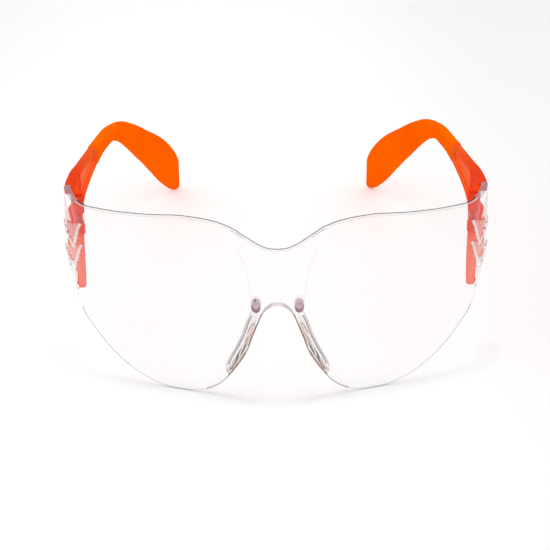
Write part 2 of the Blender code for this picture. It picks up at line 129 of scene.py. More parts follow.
# =================================================================== helpers
def pchip(table, x, col=1):
    """Monotone cubic through the rows of a table, for an array of x."""
    xs = np.array([r[0] for r in table], float)
    ys = np.array([r[col] for r in table], float)
    h = np.diff(xs)
    d = np.diff(ys) / h
    m = np.zeros(len(xs))
    m[0], m[-1] = d[0], d[-1]
    for i in range(1, len(xs) - 1):
        if d[i - 1] * d[i] > 0:
            w1, w2 = 2 * h[i] + h[i - 1], h[i] + 2 * h[i - 1]
            m[i] = (w1 + w2) / (w1 / d[i - 1] + w2 / d[i])
    x = np.clip(np.asarray(x, float), xs[0], xs[-1])
    i = np.clip(np.searchsorted(xs, x, side="right") - 1, 0, len(xs) - 2)
    s = (x - xs[i]) / h[i]
    return ((2 * s ** 3 - 3 * s ** 2 + 1) * ys[i] + (s ** 3 - 2 * s ** 2 + s) * h[i] * m[i]
            + (-2 * s ** 3 + 3 * s ** 2) * ys[i + 1] + (s ** 3 - s ** 2) * h[i] * m[i + 1])


def smooth(u):
    u = np.clip(u, 0.0, 1.0)
    return u * u * (3 - 2 * u)


def plan(t):
    t = np.asarray(t, float)
    sg = np.where(t < 0, -1.0, 1.0)
    rem = np.abs(t)
    x, y, th = np.zeros_like(rem), np.zeros_like(rem), np.zeros_like(rem)
    for i, (r, turn) in enumerate(PLAN_ARCS):
        full = r * radians(turn)
        a = (rem if i == len(PLAN_ARCS) - 1 else np.minimum(rem, full)) / r
        x += r * (np.sin(th + a) - np.sin(th))
        y += r * (np.cos(th) - np.cos(th + a))
        th += a
        rem = np.maximum(rem - full, 0.0)
    return sg * x, y, sg * np.sin(th), -np.cos(th)


def lens_point(t, z, depth=0.0):
    """Lens surface points in mm; depth goes inwards from the outer face."""
    t, z = np.asarray(t, float), np.asarray(z, float)
    x, y, nx, ny = plan(t)
    k = 1.0 - 0.9 * smooth((np.abs(t) - FLAT_FROM) / (FLAT_TO - FLAT_FROM))
    d = k * (VERT_RADIUS - np.sqrt(VERT_RADIUS ** 2 - (z - VERT_CENTRE) ** 2)) + depth
    return np.stack([x - nx * d, y - ny * d - DEPTH_MID, z + 0 * x], -1)


def mesh_object(name, verts, faces):
    me = bpy.data.meshes.new(name)
    me.from_pydata([tuple(v) for v in np.asarray(verts) * MM], [], [tuple(int(i) for i in f) for f in faces])
    me.validate()
    me.update()
    ob = bpy.data.objects.new(name, me)
    bpy.context.scene.collection.objects.link(ob)
    bm = bmesh.new()
    bm.from_mesh(me)
    bmesh.ops.recalc_face_normals(bm, faces=bm.faces)
    if bm.calc_volume(signed=True) < 0:
        bmesh.ops.reverse_faces(bm, faces=bm.faces)
    bm.to_mesh(me)
    bm.free()
    return ob


def drop(obs):
    for ob in obs:
        me = ob.data
        bpy.data.objects.remove(ob, do_unlink=True)
        bpy.data.meshes.remove(me)


def cut(ob, others, ops, solver="MANIFOLD"):
    """Booleans applied one after another; the operands are removed."""
    for other, op in zip(others, ops):
        mod = ob.modifiers.new(op.lower(), "BOOLEAN")
        mod.operation = op
        mod.solver = solver
        mod.object = other
    apply_mods(ob)
    drop(others)
    return ob


def apply_mods(ob):
    dg = bpy.context.evaluated_depsgraph_get()
    dg.update()
    me = bpy.data.meshes.new_from_object(ob.evaluated_get(dg))
    old = ob.data
    ob.modifiers.clear()
    ob.data = me
    me.name = ob.name
    bpy.data.meshes.remove(old)


def join(name, obs):
    """One mesh from several disjoint closed shells."""
    bm = bmesh.new()
    for ob in obs:
        bm.from_mesh(ob.data)
    me = bpy.data.meshes.new(name)
    bm.to_mesh(me)
    bm.free()
    drop(obs)
    ob = bpy.data.objects.new(name, me)
    bpy.context.scene.collection.objects.link(ob)
    return ob


def shade(ob, angle=32):
    ob.data.shade_smooth()
    ob.data.set_sharp_from_angle(angle=radians(angle))


def loft(name, rings):
    """Closed body through rings of equal point count, flat caps."""
    rings = np.asarray(rings, float)
    m, n = rings.shape[:2]
    i, j = np.meshgrid(np.arange(m - 1), np.arange(n), indexing="ij")
    a = (i * n + j).ravel()
    b = (i * n + (j + 1) % n).ravel()
    quads = np.stack([a, b, b + n, a + n], 1).tolist()
    caps = [list(range(n))[::-1], [(m - 1) * n + k for k in range(n)]]
    return mesh_object(name, rings.reshape(-1, 3), quads + caps)


def cylinder(name, r, z0, z1, at, seg=48, ax="Z", sa=1.0, sb=1.0, edge=0.0, crown=0.0):
    """Turned body along Z or Y with rounded edges and, if asked, a crowned end."""
    prof = [(0.0, z0 - (crown if crown else 0.0))]
    steps = 6
    if crown:
        prof += [(r * k / steps, z0 - crown * (1 - (k / steps) ** 2)) for k in range(1, steps)]
    if edge:
        prof += [(r - edge + edge * sin(k * pi / 8), z0 + edge - edge * cos(k * pi / 8)) for k in range(5)]
        prof += [(r - edge + edge * cos(k * pi / 8), z1 - edge + edge * sin(k * pi / 8)) for k in range(5)]
    else:
        prof += [(r, z0), (r, z1)]
    prof += [(0.0, z1)]
    verts, faces = [], []
    for (q, h) in prof[1:-1]:
        for k in range(seg):
            a = 2 * pi * k / seg
            verts.append((q * cos(a) * sa, q * sin(a) * sb, h))
    n = len(prof) - 2
    for i in range(n - 1):
        for k in range(seg):
            faces.append((i * seg + k, i * seg + (k + 1) % seg, (i + 1) * seg + (k + 1) % seg, (i + 1) * seg + k))
    c0, c1 = len(verts), len(verts) + 1
    verts += [(0, 0, prof[0][1]), (0, 0, prof[-1][1])]
    for k in range(seg):
        faces.append((c0, (k + 1) % seg, k))
        faces.append((c1, (n - 1) * seg + k, (n - 1) * seg + (k + 1) % seg))
    v = np.array(verts, float)
    if ax == "Z":
        v = v + np.array([at[0], at[1] - DEPTH_MID, 0])
    else:
        v = np.stack([v[:, 0] + at[0], v[:, 2] - DEPTH_MID, v[:, 1] + at[1]], -1)
    return mesh_object(name, v, faces)


def box(name, lo, hi):
    v = [(x, y - DEPTH_MID, z) for x in (lo[0], hi[0]) for y in (lo[1], hi[1]) for z in (lo[2], hi[2])]
    return mesh_object(name, v, [(0, 1, 3, 2), (4, 6, 7, 5), (0, 4, 5, 1), (2, 3, 7, 6), (0, 2, 6, 4), (1, 5, 7, 3)])


def rounded(cx, cz, w, h, r, n):
    """Rounded rectangle rings for arrays of centres and sizes."""
    r = np.minimum(r, np.minimum(w, h) * 0.49)
    out = []
    for (sx, sz, a0) in ((1, 1, 0), (-1, 1, 90), (-1, -1, 180), (1, -1, 270)):
        for k in range(n + 1):
            a = radians(a0 + 90.0 * k / n)
            out.append(np.stack([cx + sx * (w / 2 - r) + r * cos(a), cz + sz * (h / 2 - r) + r * sin(a)], -1))
    return np.stack(out, 1)


def bar(name, s, y, cx, cz, w, h, r=1.1, n=5, cap=0.0):
    """Bar along Y with a rounded-rectangle section that varies; cap rounds both ends."""
    y, cx, cz, w, h = (np.asarray(a, float) * np.ones(len(y)) for a in (y, cx, cz, w, h))
    r = r * np.ones(len(y))
    if cap:
        ks = np.arange(4)
        front_y = y[0] + cap * (1 - np.cos(ks * pi / 8))
        back_y = y[-1] - cap * (1 - np.cos(ks[::-1] * pi / 8))
        inset = cap * (1 - np.sin(ks * pi / 8))
        keep = (y > y[0] + cap) & (y < y[-1] - cap)
        yy = np.concatenate([front_y, [y[0] + cap], y[keep], [y[-1] - cap], back_y])
        ins = np.concatenate([inset, [0], 0 * y[keep], [0], inset[::-1]])
        cx, cz, w, h, r = (np.interp(yy, y, a) for a in (cx, cz, w, h, r))
        w, h, y = w - 2 * ins, h - 2 * ins, yy
        r = np.maximum(r - ins, 0.12)
    ring = rounded(cx, cz, w, h, r, n)
    pts = np.stack([s * ring[..., 0], (y - DEPTH_MID)[:, None] + 0 * ring[..., 0], ring[..., 1]], -1)
    return loft(name, pts)


def sheet_x(y):
    return pchip(SHEET, y)


# ====================================================================== lens
def rib_height(t, z):
    """Height of the raised chevrons and depth of the bridge zone, outwards."""
    q = np.abs(t)
    h = np.zeros_like(q)
    for (p, e) in CHEVRONS:
        dt, dz = e[0] - p[0], e[1] - p[1]
        ln2 = dt * dt + dz * dz
        f = np.clip(((q - p[0]) * dt + (z - p[1]) * dz) / ln2, 0, 1)
        dist = np.hypot(q - p[0] - f * dt, z - p[1] - f * dz)
        half = RIB_WIDTH * (0.6 + 0.4 * f) / 2
        h = np.maximum(h, RIB_RISE * smooth((half - dist) / RIB_FLANK + 0.5))
    edge = pchip(BRIDGE, z)
    fade = smooth((z - 33.0) / 3.0)
    h = h - BRIDGE_SINK * fade * (1 - smooth((q - edge) / BRIDGE_EDGE + 0.5))
    return h


def lines(t):
    q = np.abs(t)
    zb, zt = pchip(BOTTOM_LINE, q), pchip(TOP_LINE, q)
    u = np.clip(q - (LENS_END_T - END_ROUND), 0, END_ROUND)
    zt = zt - (END_ROUND - np.sqrt(np.maximum(END_ROUND ** 2 - u ** 2, 0)))
    return zb, zt


def lens_columns():
    tt = np.linspace(0, LENS_END_T, 20001)
    zb, zt = lines(tt)
    dt = np.diff(tt)
    sb, st = np.abs(np.diff(zb)) / dt, np.abs(np.diff(zt)) / dt
    mid = (tt[1:] + tt[:-1]) / 2
    step = np.where((mid > 65.5) & (mid < 85.5), 0.34, np.where((mid > 7.5) & (mid < 17.0), 0.4, 0.85))
    dens = np.maximum(1 / step, np.maximum(np.sqrt(1 + sb ** 2), np.sqrt(1 + st ** 2)) / 0.6)
    # soften jumps in the column spacing
    ker = np.hanning(601)
    pad = np.concatenate([np.full(300, dens[0]), dens, np.full(300, dens[-1])])
    dens = np.maximum(dens, np.convolve(pad, ker / ker.sum(), "valid"))
    cum = np.concatenate([[0], np.cumsum(dens * dt)])
    n = int(np.ceil(cum[-1]))
    half = np.interp(np.linspace(0, cum[-1], n + 1), cum, tt)
    half[0], half[-1] = 0.0, LENS_END_T
    return np.concatenate([-half[::-1], half[1:]])


def build_lens():
    t = lens_columns()
    n, m = len(t) - 1, ROWS
    zb, zt = lines(t)
    v = np.linspace(0, 1, m + 1)

    def inward(line, sign):
        g = np.gradient(line, t)
        nt, nz = sign * g, -sign * np.ones_like(g)
        ln = np.hypot(nt, nz)
        return np.stack([nt / ln, nz / ln], -1)
    n_top, n_bot = inward(zt, 1.0), inward(zb, -1.0)
    for side, i in ((1.0, 0), (-1.0, n)):
        for nn in (n_top, n_bot):
            b = nn[i] + np.array([side, 0.0])
            b /= np.linalg.norm(b)
            nn[i] = b / max(0.5, float(b @ nn[i]))

    def corner_rows(a):
        """Top and bottom outline moved inwards by a."""
        top = np.stack([t, zt], -1) + a * n_top
        bot = np.stack([t, zb], -1) + a * n_bot
        return top, bot

    def ring(a, depth):
        top, bot = corner_rows(a)
        right = bot[n] + (top[n] - bot[n]) * v[1:, None]
        left = (bot[0] + (top[0] - bot[0]) * v[:, None])[::-1]
        loop = np.concatenate([bot, right, top[:n][::-1], left[1:-1]])
        return lens_point(loop[:, 0], loop[:, 1], depth)

    top, bot = corner_rows(RIM_R)
    grid = bot[:, None, :] + (top - bot)[:, None, :] * v[None, :, None]      # (n+1, m+1, 2)
    gt, gz = grid[..., 0].ravel(), grid[..., 1].ravel()
    outer = lens_point(gt, gz, -rib_height(gt, gz))
    inner = lens_point(gt, gz, LENS_THICK)
    w = m + 1
    loop = ([i * w for i in range(n + 1)] + [n * w + j for j in range(1, w)]
            + [i * w + m for i in range(n - 1, -1, -1)] + [j for j in range(m - 1, 0, -1)])
    size = (n + 1) * w
    verts = [outer, inner]
    rings = [np.array(loop)]
    at = 2 * size
    prof = [(RIM_R * (1 - sin(k * pi / 8)), RIM_R * (1 - cos(k * pi / 8))) for k in range(1, 5)]
    prof += [(0.0, 0.9), (0.0, 1.25)]
    prof += [(a, LENS_THICK - d) for (a, d) in reversed(prof[:4])]
    for (a, d) in prof:
        pts = ring(a, d)
        verts.append(pts)
        rings.append(np.arange(at, at + len(pts)))
        at += len(pts)
    rings.append(np.array(loop) + size)
    faces = []
    i, j = np.meshgrid(np.arange(n), np.arange(m), indexing="ij")
    a = (i * w + j).ravel()
    quad = np.stack([a, a + w, a + w + 1, a + 1], 1)
    faces += quad.tolist() + (quad[:, ::-1] + size).tolist()
    for p, q in zip(rings[:-1], rings[1:]):
        faces += np.stack([p, q, np.roll(q, -1), np.roll(p, -1)], 1).tolist()
    ob = mesh_object("lens_shell", np.concatenate(verts), faces)
    lugs, holes = [], []
    for s in (-1, 1):
        z0, z1 = LUG_Z
        lug = cylinder("lug", LUG_R, z0, z1, (s * HINGE_X, HINGE_Y), edge=0.3)
        web = box("web", (min(s * HINGE_X, s * 67.35), HINGE_Y - 1.6, z0 + 0.02),
                  (max(s * HINGE_X, s * 67.35), HINGE_Y + 1.6, z1 - 0.02))
        bev = web.modifiers.new("soft", "BEVEL")
        bev.width, bev.segments, bev.limit_method = 0.25 * MM, 3, "NONE"
        apply_mods(web)
        cut(lug, [web], ["UNION"])
        lugs.append(lug)
        holes.append(cylinder("hole", HOLE_R, z0 - 3, z1 + 3, (s * HINGE_X, HINGE_Y), 32))
        holes.append(cylinder("stud_hole", 1.0, -6, 12, (s * STUD_X, STUD_Z), 40, "Y",
                              STUD_A + GAP * 0.5, STUD_B + GAP * 0.5))
    cut(ob, [join("lugs", lugs), join("holes", holes)], ["UNION", "DIFFERENCE"])
    shade(ob, 34)
    return ob


# ====================================================================== pads
def build_pad(side, s):
    zs = np.linspace(PAD[0][0], PAD[-1][0], 46)
    tab = tuple(reversed(PAD))
    x0, dep = pchip(tab, zs, 1), pchip(tab, zs, 2)
    # section: a rounded blade, thicker and rolled where it touches the skin
    a = np.array([0.30, 0.70, 0.94, 1.00, 1.00, 1.02, 0.92, 0.74, 0.50, 0.08, -0.02, 0.0, 0.0, 0.06])
    b = np.array([0.0, 0.0, 0.05, 0.16, 0.45, 0.80, 0.95, 0.985, 1.0, 0.95, 0.80, 0.45, 0.16, 0.05])
    y0 = lens_point(x0 + PAD_THICK / 2, zs, LENS_THICK)[:, 1] + DEPTH_MID + GAP + 0.05
    # the two ends of the blade are rounded in side view
    u = np.linspace(0, 1, len(zs))
    end = np.minimum(1.0, np.sqrt(np.clip(1 - (1 - np.minimum(1, np.minimum(u, 1 - u) / 0.06)) ** 2, 0.02, 1)))
    dep = dep * end
    thick = PAD_THICK * (0.35 + 0.65 * end)
    x = (x0 + PAD_THICK / 2)[:, None] + (a[None, :] - 0.5) * thick[:, None] + PAD_FLARE * b[None, :] * dep[:, None]
    pts = np.stack([s * x, y0[:, None] + b[None, :] * dep[:, None] - DEPTH_MID, zs[:, None] + 0 * x], -1)
    ob = loft("nose_pad_%s_piece" % side, pts)
    yb = float(lens_point(STUD_X, STUD_Z, LENS_THICK)[1]) + DEPTH_MID + GAP
    yf = float(lens_point(STUD_X, STUD_Z)[1]) + DEPTH_MID
    tab = cylinder("tab", 1.0, yb, yb + 1.7, (s * STUD_X, STUD_Z), 40, "Y", TAB_A, TAB_B, edge=0.3)
    stud = cylinder("stud", 1.0, yf - 0.12, yb + 1.0, (s * STUD_X, STUD_Z), 40, "Y", STUD_A, STUD_B,
                    edge=0.22, crown=0.18)
    cut(ob, [tab, stud], ["UNION", "UNION"])
    shade(ob, 50)
    return ob


# =================================================================== temples
def build_temple(side, s):
    y = np.linspace(ARM[0][0], ARM[-1][0], 150)
    zb, zt, th = pchip(ARM, y, 1), pchip(ARM, y, 2), pchip(ARM, y, 3)
    ob = bar("temple_%s_piece" % side, s, y, sheet_x(y) - th / 2, (zb + zt) / 2, th, zt - zb, 1.1, 6, 0.2)

    def slab(name, table, n=60):
        y = np.linspace(table[0][0], table[-1][0], n)
        zb, zt, xo, th = (pchip(table, y, k) for k in (1, 2, 3, 4))
        return bar(name, s, y, xo - th / 2, (zb + zt) / 2, th, zt - zb, 0.6, 4, 0.3)
    fin, flange = slab("fin", FIN), slab("flange", FLANGE)
    y = np.linspace(TONGUE[0][0], TONGUE[-1][0], 80)
    zb, zt = pchip(TONGUE, y, 1), pchip(TONGUE, y, 2)
    tongue = bar("tongue", s, y, sheet_x(y) + SLEEVE_PROUD - SLEEVE_THICK / 2, (zb + zt) / 2,
                 TONGUE_THICK, zt - zb, 0.5, 3)
    x0, x1 = HINGE_X - 1.0, HINGE_X + 1.3
    knuckles, sinks = [], []
    for i, (z0, z1) in enumerate(KNUCKLES):
        eye = cylinder("knuckle", KNUCKLE_R, z0, z1, (s * HINGE_X, HINGE_Y), 48, edge=0.22)
        web = box("web", (min(s * x0, s * x1), HINGE_Y, z0 + 0.02),
                  (max(s * x0, s * x1), 37.4, z1 - 0.17))
        knuckles.append(cut(eye, [web], ["UNION"]))
        face = (z1 - SINK_DEEP, z1 + 1.0) if i == 0 else (z0 - 1.0, z0 + SINK_DEEP)
        sinks.append(cylinder("sink", SINK_R, face[0], face[1], (s * HINGE_X, HINGE_Y), 40))
    hole = cylinder("hole", HOLE_R, KNUCKLES[1][0] - 2, KNUCKLES[0][1] + 2, (s * HINGE_X, HINGE_Y), 32)
    notch = cylinder("notch", 1.0, -5, 5, (0, 0), 40)
    for v in notch.data.vertices:
        x, yy, z = v.co.x / MM, (v.co.y / MM + DEPTH_MID), v.co.z / MM
        v.co = Vector((s * (62.6 + z), 35.8 + x * 1.53 - DEPTH_MID, 39.2 + yy * 1.28)) * MM
    bm = bmesh.new()
    bm.from_mesh(notch.data)
    bmesh.ops.recalc_face_normals(bm, faces=bm.faces)
    bm.to_mesh(notch.data)
    bm.free()
    y = np.linspace(CHANNEL[0][0], CHANNEL[-1][0], 60)
    zb, zt = pchip(CHANNEL, y, 1), pchip(CHANNEL, y, 2)
    channel = bar("channel", s, y, sheet_x(y) - pchip(ARM, y, 3), (zb + zt) / 2, 2 * CHANNEL_DEEP, zt - zb,
                  0.5, 4, 0.4)
    cut(ob, [fin, flange, tongue] + knuckles + [hole, notch, channel] + sinks,
        ["UNION"] * 5 + ["DIFFERENCE"] * 5)
    shade(ob, 34)
    return ob


def tongue_bar(name, s, grow, extra=0.0):
    y = np.linspace(TONGUE[0][0], TONGUE[-1][0], 80)
    zb, zt = pchip(TONGUE, y, 1), pchip(TONGUE, y, 2)
    return bar(name, s, y, sheet_x(y) + SLEEVE_PROUD - SLEEVE_THICK / 2, (zb + zt) / 2,
               TONGUE_THICK + 2 * grow, zt - zb + 2.5 * grow, 0.6, 3)


def build_sleeve(side, s):
    y = np.linspace(SLEEVE[0][0], SLEEVE[-1][0], 150)
    zb, zt = pchip(SLEEVE, y, 1), pchip(SLEEVE, y, 2)
    th = SLEEVE_THICK * np.interp(y, (83, 158, 160, 160.8), (1.0, 1.0, 0.93, 0.72))
    ob = bar("temple_sleeve_%s_piece" % side, s, y, sheet_x(y) + SLEEVE_PROUD - SLEEVE_THICK / 2,
             (zb + zt) / 2, th, zt - zb, 1.5, 7, 0.2)
    cut(ob, [tongue_bar("pocket", s, GAP)], ["DIFFERENCE"])
    shade(ob, 40)
    return ob


def build_pin(side, s):
    at = (s * HINGE_X, HINGE_Y)
    high, low = KNUCKLES[0][1] - SINK_DEEP + 0.1, KNUCKLES[1][0] + SINK_DEEP - 0.1
    ob = cylinder("hinge_pin_%s_piece" % side, PIN_R, low - 0.2, high + 0.2, at, 40)
    a = cylinder("head_a", PIN_HEAD_R, high, high + PIN_HEAD_T, at, 48, edge=0.15)
    b = cylinder("head_b", PIN_HEAD_R, low - PIN_HEAD_T, low, at, 48, edge=0.15)
    cut(ob, [a, b], ["UNION", "UNION"])
    shade(ob, 40)
    return ob


# ================================================================= materials
def node(nt, kind, **inputs):
    n = nt.nodes.new(kind)
    for k, v in inputs.items():
        k = k.replace("_", " ")
        if k in n.inputs:
            n.inputs[k].default_value = v
    return n


def fresh(name):
    m = bpy.data.materials.new(name)
    m.use_nodes = True
    nt = m.node_tree
    nt.nodes.clear()
    return m, nt, nt.nodes.new("ShaderNodeOutputMaterial")


def bump_of(nt, height, strength, distance, base=None):
    b = nt.nodes.new("ShaderNodeBump")
    b.inputs["Strength"].default_value = strength
    b.inputs["Distance"].default_value = distance
    nt.links.new(height, b.inputs["Height"])
    if base is not None:
        nt.links.new(base, b.inputs["Normal"])
    return b.outputs["Normal"]


def grain(nt, scale, detail, lo, hi, rough=0.5):
    """Object-space noise mapped to a narrow range."""
    co = nt.nodes.new("ShaderNodeTexCoord")
    n = node(nt, "ShaderNodeTexNoise", Scale=scale, Detail=detail, Roughness=rough)
    nt.links.new(co.outputs["Object"], n.inputs["Vector"])
    r = nt.nodes.new("ShaderNodeMapRange")
    r.inputs["From Min"].default_value, r.inputs["From Max"].default_value = 0.3, 0.7
    r.inputs["To Min"].default_value, r.inputs["To Max"].default_value = lo, hi
    nt.links.new(n.outputs["Fac"], r.inputs["Value"])
    return n.outputs["Fac"], r.outputs["Result"]


def sheet_material(name, tint, white=0.0, white_colour=(1, 1, 1), gloss=(0.045, 0.95), rough=(0.0, 0.02),
                   wave=0.03, scale=70.0, painted_glints=None,
                   glint_scale=(900.0, 700.0, 260.0)):
    """Thin clear plastic: lets the view through, tinted, with a gloss that grows at grazing angles
    and, if asked, a milky share that catches light; dark tints, milky shares and glint bands paint shade, highlights
    and refraction."""
    m, nt, out = fresh(name)
    L = nt.links
    height, rr = grain(nt, scale, 2.0, rough[0], rough[1])
    normal = bump_of(nt, height, wave, 0.0006)
    body = nt.nodes.new("ShaderNodeBsdfTransparent")
    body.inputs["Color"].default_value = (*tint, 1)
    if painted_glints:
        co = nt.nodes.new("ShaderNodeTexCoord")
        xyz, flat = nt.nodes.new("ShaderNodeSeparateXYZ"), nt.nodes.new("ShaderNodeCombineXYZ")
        side, lean = nt.nodes.new("ShaderNodeMath"), nt.nodes.new("ShaderNodeMath")
        side.operation, lean.operation = "ABSOLUTE", "MULTIPLY_ADD"
        lean.inputs[1].default_value = GLINT_LEAN
        L.new(co.outputs["Object"], xyz.inputs["Vector"])
        L.new(xyz.outputs["X"], side.inputs[0])
        L.new(xyz.outputs["Z"], lean.inputs[0])
        L.new(side.outputs["Value"], lean.inputs[2])
        L.new(lean.outputs["Value"], flat.inputs["X"])
        L.new(xyz.outputs["Y"], flat.inputs["Y"])
        L.new(xyz.outputs["Z"], flat.inputs["Z"])
        mp = nt.nodes.new("ShaderNodeMapping")
        mp.inputs["Scale"].default_value = glint_scale
        n = node(nt, "ShaderNodeTexNoise", Scale=1.0, Detail=2.0, Roughness=0.6)
        L.new(flat.outputs["Vector"], mp.inputs["Vector"])
        L.new(mp.outputs["Vector"], n.inputs["Vector"])
        r = nt.nodes.new("ShaderNodeValToRGB")
        el = r.color_ramp.elements
        while len(el) < len(painted_glints):
            el.new(0.5)
        for e, (pos, col) in zip(el, painted_glints):
            e.position = 0.25 + 0.5 * pos
            e.color = (*col, 1)
        L.new(n.outputs["Fac"], r.inputs["Fac"])
        L.new(r.outputs["Color"], body.inputs["Color"])
    body = body.outputs["BSDF"]
    if white:
        df = nt.nodes.new("ShaderNodeBsdfDiffuse")
        df.inputs["Color"].default_value = (*white_colour, 1)
        tl = nt.nodes.new("ShaderNodeBsdfTranslucent")
        tl.inputs["Color"].default_value = (*white_colour, 1)
        both = nt.nodes.new("ShaderNodeMixShader")
        both.inputs["Fac"].default_value = 0.5
        L.new(df.outputs["BSDF"], both.inputs[1])
        L.new(tl.outputs["BSDF"], both.inputs[2])
        mix = nt.nodes.new("ShaderNodeMixShader")
        _, share = grain(nt, scale * 30, 3.0, white * 0.88, min(1.0, white * 1.12), 0.6)
        L.new(share, mix.inputs["Fac"])
        L.new(body, mix.inputs[1])
        L.new(both.outputs["Shader"], mix.inputs[2])
        body = mix.outputs["Shader"]
    gl = nt.nodes.new("ShaderNodeBsdfGlossy")
    L.new(rr, gl.inputs["Roughness"])
    L.new(normal, gl.inputs["Normal"])
    lw = nt.nodes.new("ShaderNodeLayerWeight")
    lw.inputs["Blend"].default_value = 0.5
    pw = nt.nodes.new("ShaderNodeMath")
    pw.operation = "POWER"
    pw.inputs[1].default_value = 5.0
    L.new(lw.outputs["Facing"], pw.inputs[0])
    ma = nt.nodes.new("ShaderNodeMath")
    ma.operation = "MULTIPLY_ADD"
    ma.inputs[1].default_value = gloss[1] - gloss[0]
    ma.inputs[2].default_value = gloss[0]
    L.new(pw.outputs["Value"], ma.inputs[0])
    top = nt.nodes.new("ShaderNodeMixShader")
    L.new(ma.outputs["Value"], top.inputs["Fac"])
    L.new(body, top.inputs[1])
    L.new(gl.outputs["BSDF"], top.inputs[2])
    L.new(top.outputs["Shader"], out.inputs["Surface"])
    return m


def temple_material(name, colour, through, shadow, milk=None, gloss=(0.014, 0.022)):
    """Coloured plastic, partly see-through and partly milky."""
    m, nt, out = fresh(name)
    L = nt.links
    co = nt.nodes.new("ShaderNodeTexCoord")
    flow = node(nt, "ShaderNodeTexNoise", Scale=38.0, Detail=3.0, Roughness=0.55)
    L.new(co.outputs["Object"], flow.inputs["Vector"])
    milk = milk or colour

    def ramp(lo, hi):
        r = nt.nodes.new("ShaderNodeValToRGB")
        r.color_ramp.elements[0].position, r.color_ramp.elements[1].position = 0.3, 0.72
        r.color_ramp.elements[0].color = (*lo, 1)
        r.color_ramp.elements[1].color = (*hi, 1)
        L.new(flow.outputs["Fac"], r.inputs["Fac"])
        return r.outputs["Color"]
    solid = ramp((milk[0] * 0.97, milk[1] * 0.82, milk[2]), (milk[0], milk[1] * 1.2, milk[2] * 1.3))
    half = [sqrt(c) for c in colour]
    tint = ramp((half[0] * 0.985, half[1] * 0.92, half[2]), (half[0], half[1] * 1.08, half[2] * 1.15))
    # the colour turns orange towards the sleeve, and down the front panel it is painted paler as a painted highlight
    xyz = nt.nodes.new("ShaderNodeSeparateXYZ")
    L.new(co.outputs["Object"], xyz.inputs["Vector"])

    def towards(c, axis, span, goal):
        run = node(nt, "ShaderNodeMapRange")
        for key, v in zip(("From Min", "From Max", "To Min", "To Max"), span):
            run.inputs[key].default_value = v
        L.new(xyz.outputs[axis], run.inputs["Value"])
        x = nt.nodes.new("ShaderNodeMixRGB")
        x.inputs["Color2"].default_value = (*goal, 1)
        L.new(run.outputs["Result"], x.inputs["Fac"])
        L.new(c, x.inputs["Color1"])
        return x.outputs["Color"]
    solid = towards(solid, "Y", REAR_BLEND, (1.0, 0.20, 0.01))
    tint = towards(tint, "Y", REAR_BLEND, (1.0, 0.44, 0.10))
    solid = towards(solid, "Z", LOW_HIGHLIGHT_BLEND, (1.0, 0.36, 0.28))
    tint = towards(tint, "Z", LOW_HIGHLIGHT_BLEND, (1.0, 0.70, 0.62))
    height, rr = grain(nt, 500.0, 3.0, 0.08, 0.16)
    normal = bump_of(nt, height, 0.08, 0.00015)
    rf = nt.nodes.new("ShaderNodeBsdfRefraction")
    rf.inputs["IOR"].default_value = 1.08
    L.new(tint, rf.inputs["Color"])
    L.new(rr, rf.inputs["Roughness"])
    L.new(normal, rf.inputs["Normal"])
    df = nt.nodes.new("ShaderNodeBsdfDiffuse")
    tl = nt.nodes.new("ShaderNodeBsdfTranslucent")
    L.new(solid, df.inputs["Color"])
    L.new(solid, tl.inputs["Color"])
    gl = nt.nodes.new("ShaderNodeBsdfGlossy")
    L.new(rr, gl.inputs["Roughness"])
    L.new(normal, gl.inputs["Normal"])

    def mix(fac, a, b):
        x = nt.nodes.new("ShaderNodeMixShader")
        if isinstance(fac, float):
            x.inputs["Fac"].default_value = fac
        else:
            L.new(fac, x.inputs["Fac"])
        L.new(a, x.inputs[1])
        L.new(b, x.inputs[2])
        return x.outputs["Shader"]
    body = mix(0.35, df.outputs["BSDF"], tl.outputs["BSDF"])
    body = mix(through, body, rf.outputs["BSDF"])
    lw = nt.nodes.new("ShaderNodeLayerWeight")
    lw.inputs["Blend"].default_value = 0.5
    pw = nt.nodes.new("ShaderNodeMath")
    pw.operation = "POWER"
    pw.inputs[1].default_value = 5.0
    L.new(lw.outputs["Facing"], pw.inputs[0])
    ma = nt.nodes.new("ShaderNodeMath")
    ma.operation = "MULTIPLY_ADD"
    ma.inputs[1].default_value = gloss[1] - gloss[0]
    ma.inputs[2].default_value = gloss[0]
    L.new(pw.outputs["Value"], ma.inputs[0])
    body = mix(ma.outputs["Value"], body, gl.outputs["BSDF"])
    tr = nt.nodes.new("ShaderNodeBsdfTransparent")
    tr.inputs["Color"].default_value = (*shadow, 1)
    lp = nt.nodes.new("ShaderNodeLightPath")
    body = mix(lp.outputs["Is Shadow Ray"], body, tr.outputs["BSDF"])
    L.new(body, out.inputs["Surface"])
    return m


